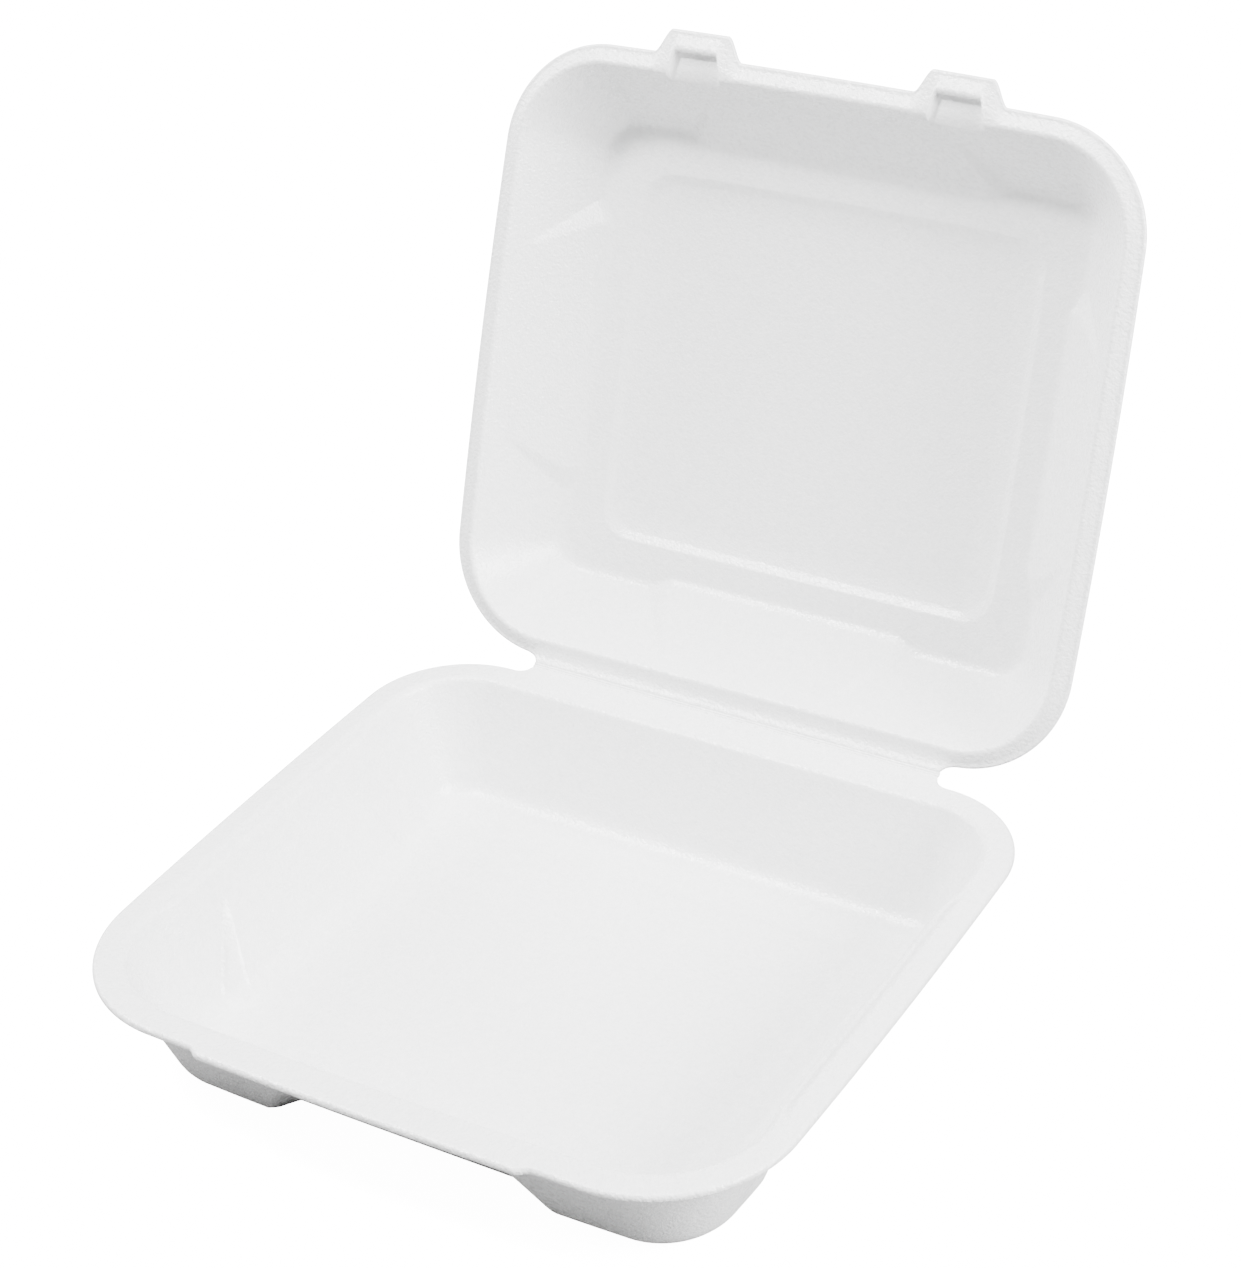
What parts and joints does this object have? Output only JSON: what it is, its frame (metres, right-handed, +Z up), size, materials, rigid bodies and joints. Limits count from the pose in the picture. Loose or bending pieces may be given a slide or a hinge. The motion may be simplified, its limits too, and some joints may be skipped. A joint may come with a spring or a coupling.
{
  "type": "hinged takeaway food container",
  "caption": "Open white foam takeaway box: a square tray with leaning walls and a shallow lid on a back fold, with front tabs that catch the tray's lip.",
  "frame": {"origin": "middle of the tray's flat underside, on the table", "axes": "+Z up, +X along the fold to the right, +Y from the front lip back to the fold"},
  "size_m": [0.2064, 0.2742, 0.2131],
  "materials": {
    "foam": "white foam sheet with a fine grain and a soft sheen"
  },
  "bodies": {
    "tray": {"base_tray": "foam"},
    "lid": {"lid": "foam"}
  },
  "joints": [
    {"name": "lid_hinge", "type": "hinge", "parent": "tray", "child": "lid", "pos_m": [0, 0.097, 0.0363], "axis": [1, 0, 0], "range_deg": [-69, 111]}
  ]
}
